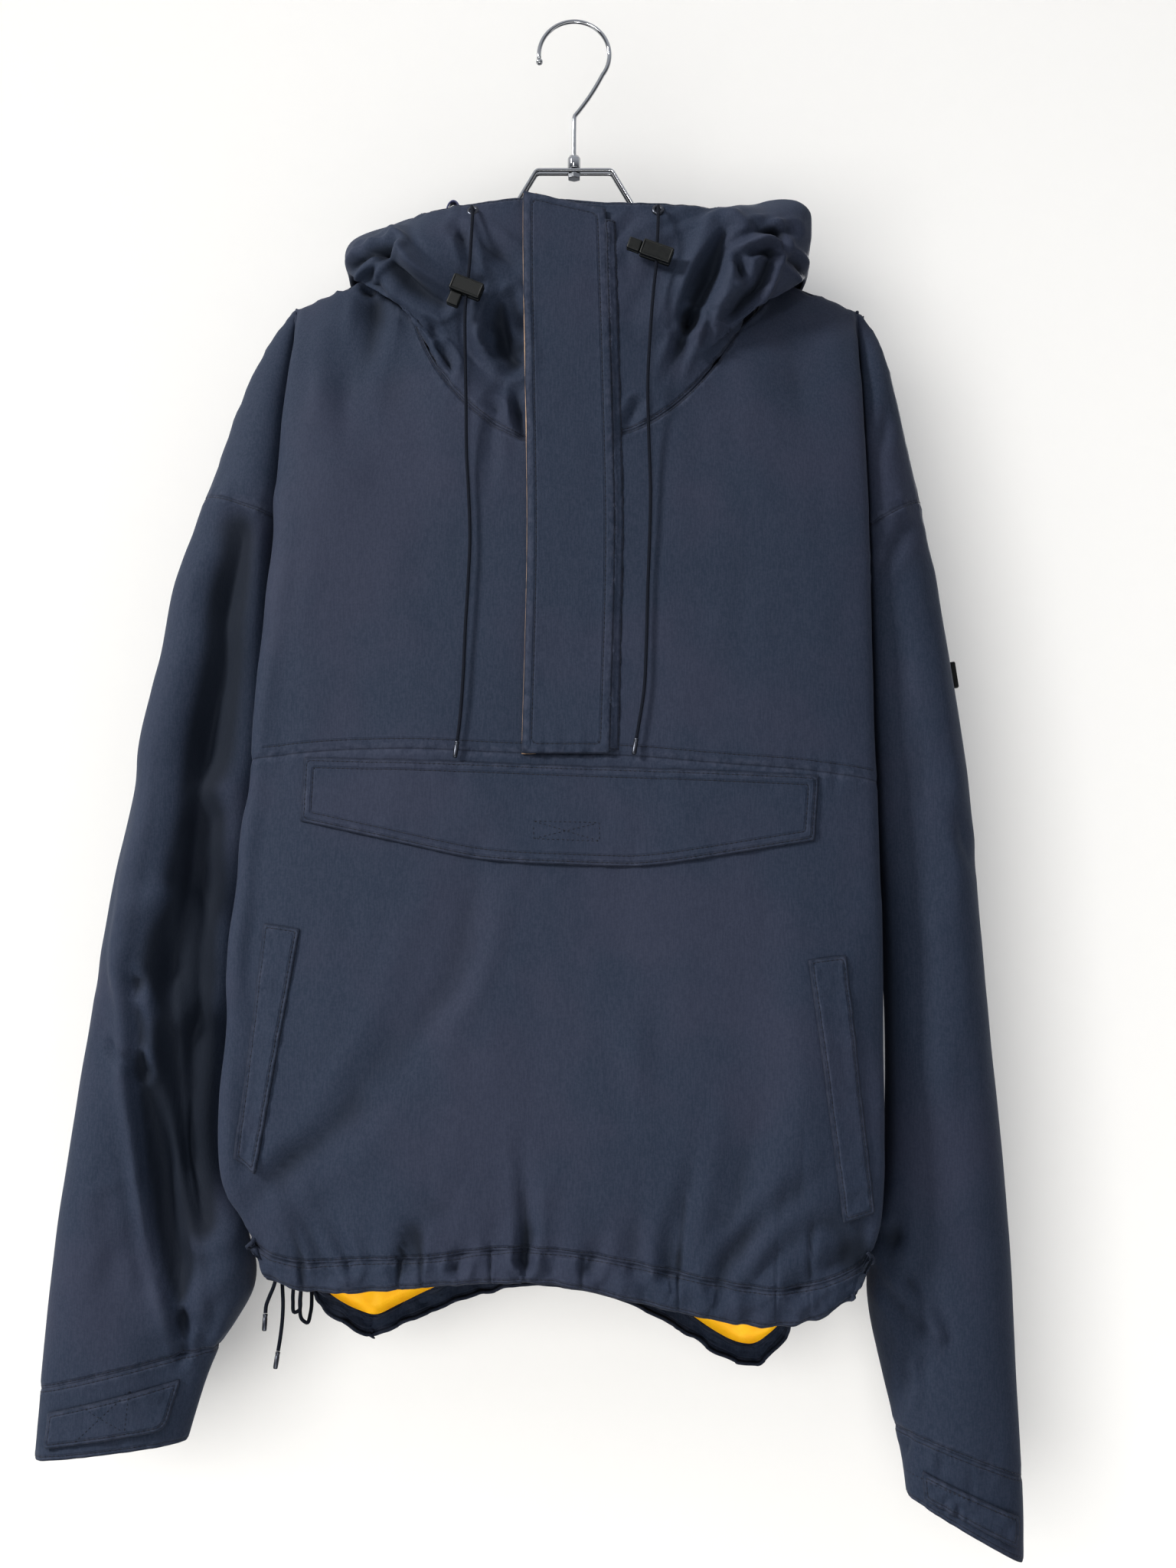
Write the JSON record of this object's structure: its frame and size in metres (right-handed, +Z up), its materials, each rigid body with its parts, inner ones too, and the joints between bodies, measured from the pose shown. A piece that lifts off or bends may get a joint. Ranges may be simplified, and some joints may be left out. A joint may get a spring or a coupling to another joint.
{
  "type": "anorak pullover on a wire hanger",
  "caption": "Hip-length anorak pullover with a fallen hood, half placket, chest flap and gathered hem, hanging from a chrome wire hanger.",
  "frame": {"origin": "inner top of the hanger's hook, where it rests on a rail", "axes": "+Z up, -Y out of the garment's front, +X to the right of someone who looks at the front"},
  "size_m": [0.679, 0.1961, 1.1071],
  "materials": {
    "shell": "matte brushed weave",
    "lining": "smooth weave",
    "facing": "smooth weave",
    "cord": "braided",
    "plastic": "satin moulded",
    "metal": "polished"
  },
  "bodies": {
    "root": {"back": "shell", "back_lining": "lining", "chest_pocket_flap": "shell", "cord_lock_left": "plastic", "cord_lock_plunger_left": "plastic", "cord_lock_plunger_right": "plastic", "cord_lock_right": "plastic", "cuff_left": "shell", "cuff_right": "shell", "cuff_tab_left": "shell", "cuff_tab_right": "shell", "eyelet_left": "metal", "eyelet_right": "metal", "front_lower": "shell", "front_yoke_left": "shell", "front_yoke_right": "shell", "hand_pocket_welt_left": "shell", "hand_pocket_welt_right": "shell", "hang_loop": "shell", "hanger_ferrule": "metal", "hanger_frame": "metal", "hanger_hook": "metal", "hanger_nut": "metal", "hem_casing_back": "shell", "hem_casing_front": "shell", "hem_cord_a": "cord", "hem_cord_b": "cord", "hem_cord_loop_a": "cord", "hem_cord_loop_b": "cord", "hem_cord_tip_a": "metal", "hem_cord_tip_b": "metal", "hood_cord_left": "cord", "hood_cord_right": "cord", "hood_cord_tip_left": "metal", "hood_cord_tip_right": "metal", "hood_left": "shell", "hood_right": "shell", "placket": "shell", "placket_facing": "facing", "sleeve_left": "shell", "sleeve_right": "shell", "sleeve_tab": "plastic"}
  },
  "joints": []
}
